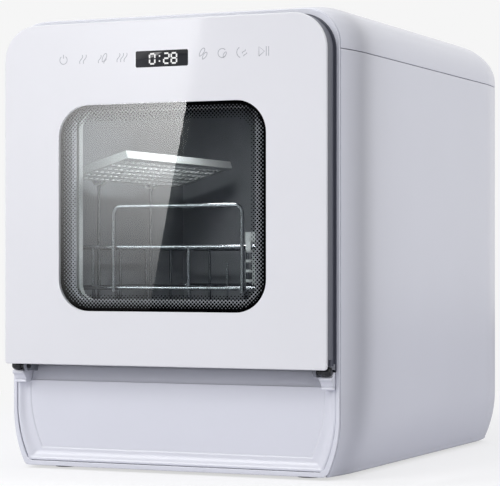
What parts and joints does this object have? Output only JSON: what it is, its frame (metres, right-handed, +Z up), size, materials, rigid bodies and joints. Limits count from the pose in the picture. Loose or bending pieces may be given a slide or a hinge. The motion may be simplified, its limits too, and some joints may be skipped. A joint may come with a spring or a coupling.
{
  "type": "countertop dishwasher",
  "caption": "Compact white dishwasher with soft rounded casing, drop-down glass door with a window, wire basket, folding cup rack and spray arm",
  "frame": {"origin": "under the middle of the machine, on the surface its feet stand on", "axes": "+Z up, the door faces -Y, +X to the right when facing the door"},
  "size_m": [0.357, 0.504, 0.443],
  "materials": {
    "white_panel": "smooth moulded ABS, satin gloss",
    "white_glass": "tempered glass printed white on its back, with a clear window in a dotted black border",
    "clear_glass": "clear tempered glass",
    "door_grey": "fine moulded dark grey plastic",
    "tub_grey": "satin grey polypropylene",
    "pale_plastic": "light grey polypropylene",
    "black_plastic": "black moulded plastic",
    "pump_grey": "glass filled grey plastic",
    "rubber": "matt moulded rubber",
    "wire_steel": "polished stainless wire",
    "steel": "plain stainless steel",
    "board": "printed circuit board",
    "tank_plastic": "translucent polypropylene",
    "foam": "expanded polystyrene"
  },
  "bodies": {
    "machine": {"top_cover": "white_panel", "left_side_panel": "white_panel", "right_side_panel": "white_panel", "back_panel": "white_panel", "base_pan": "pump_grey", "front_frame": "white_panel", "kick_panel": "white_panel", "left_hinge_cover": "white_panel", "right_hinge_cover": "white_panel", "hinge_brackets": "steel", "hinge_pins": "steel", "feet": "rubber", "case_screws": "steel", "rear_grille": "door_grey", "tub": "tub_grey", "tub_gasket": "rubber", "basket_rails": "pale_plastic", "tub_lamp": "clear_glass", "lock_case": "black_plastic", "lock_pin": "steel", "spray_hub": "pump_grey", "arm_nut": "pale_plastic", "sump": "pump_grey", "filter_plate": "steel", "wash_pump": "pump_grey", "suction_hose": "rubber", "heater": "steel", "feed_elbows": "rubber", "pump_cradle": "rubber", "drain_pump": "pump_grey", "drain_hose": "rubber", "water_tank": "tank_plastic", "fill_valve": "pump_grey", "fill_dish": "white_panel", "rear_fittings": "door_grey", "float_switch": "black_plastic", "fan_housing": "black_plastic"},
    "door": {"door_glass": "white_glass", "door_frame": "door_grey", "touch_board": "board", "display_module": "black_plastic", "window_seal": "rubber", "inner_glass": "clear_glass", "door_liner": "pale_plastic", "door_knuckles": "black_plastic", "door_tongue": "black_plastic"},
    "dish_basket": {"basket": "wire_steel", "basket_handle": "wire_steel", "plate_tines": "wire_steel", "basket_glides": "pale_plastic", "side_comb": "pale_plastic"},
    "rack": {"cup_rack": "pale_plastic"},
    "wash_arm": {"spray_arm": "pale_plastic"},
    "lock_lever": {"lock_cam": "pale_plastic"},
    "pump_rotor": {"wash_impeller": "pale_plastic"},
    "drain_rotor": {"drain_impeller": "pale_plastic"},
    "lid": {"fill_lid": "white_panel"},
    "filter": {"filter_cup": "pale_plastic"},
    "float": {"leak_float": "foam"},
    "fan_blades": {"fan_rotor": "black_plastic"}
  },
  "joints": [
    {"name": "door_hinge", "type": "hinge", "parent": "machine", "child": "door", "pos_m": [0, -0.237, 0.101], "axis": [1, 0, 0], "range_deg": [0, 90]},
    {"name": "basket_slide", "type": "slide", "parent": "machine", "child": "dish_basket", "axis": [0, -1, 0], "range_m": [0, 0.13]},
    {"name": "rack_fold", "type": "hinge", "parent": "dish_basket", "child": "rack", "pos_m": [-0.124, -0.079, 0.284], "axis": [0, -1, 0], "range_deg": [0, 68]},
    {"name": "spray_arm_spin", "type": "hinge", "parent": "machine", "child": "wash_arm", "pos_m": [0, -0.079, 0.133], "axis": [0, 0, 1], "continuous": true},
    {"name": "lock_lever_tilt", "type": "hinge", "parent": "machine", "child": "lock_lever", "pos_m": [0, -0.209, 0.407], "axis": [1, 0, 0], "range_deg": [0, 9], "stiffness_Nm_per_rad": 0.08, "springref_deg": -5.73},
    {"name": "wash_pump_spin", "type": "hinge", "parent": "machine", "child": "pump_rotor", "pos_m": [0, 0.006, 0.053], "axis": [1, 0, 0], "continuous": true},
    {"name": "drain_pump_spin", "type": "hinge", "parent": "machine", "child": "drain_rotor", "pos_m": [0.105, 0.071, 0.058], "axis": [0, 1, 0], "continuous": true},
    {"name": "fan_spin", "type": "hinge", "parent": "machine", "child": "fan_blades", "pos_m": [0.113, 0.101, 0.303], "axis": [0, 1, 0], "continuous": true},
    {"name": "fill_lid_hinge", "type": "hinge", "parent": "machine", "child": "lid", "pos_m": [0, 0.1923, 0.44], "axis": [-1, 0, 0], "range_deg": [0, 90]},
    {"name": "filter_twist", "type": "hinge", "parent": "machine", "child": "filter", "pos_m": [0.079, 0.006, 0.113], "axis": [0, 0, 1], "range_deg": [0, 90]},
    {"name": "float_lift", "type": "slide", "parent": "machine", "child": "float", "axis": [0, 0, 1], "range_m": [0, 0.008]}
  ],
  "couplings": [
    {"joint": "basket_slide", "follows": "door_hinge", "m_per_rad": 0.082697}
  ]
}
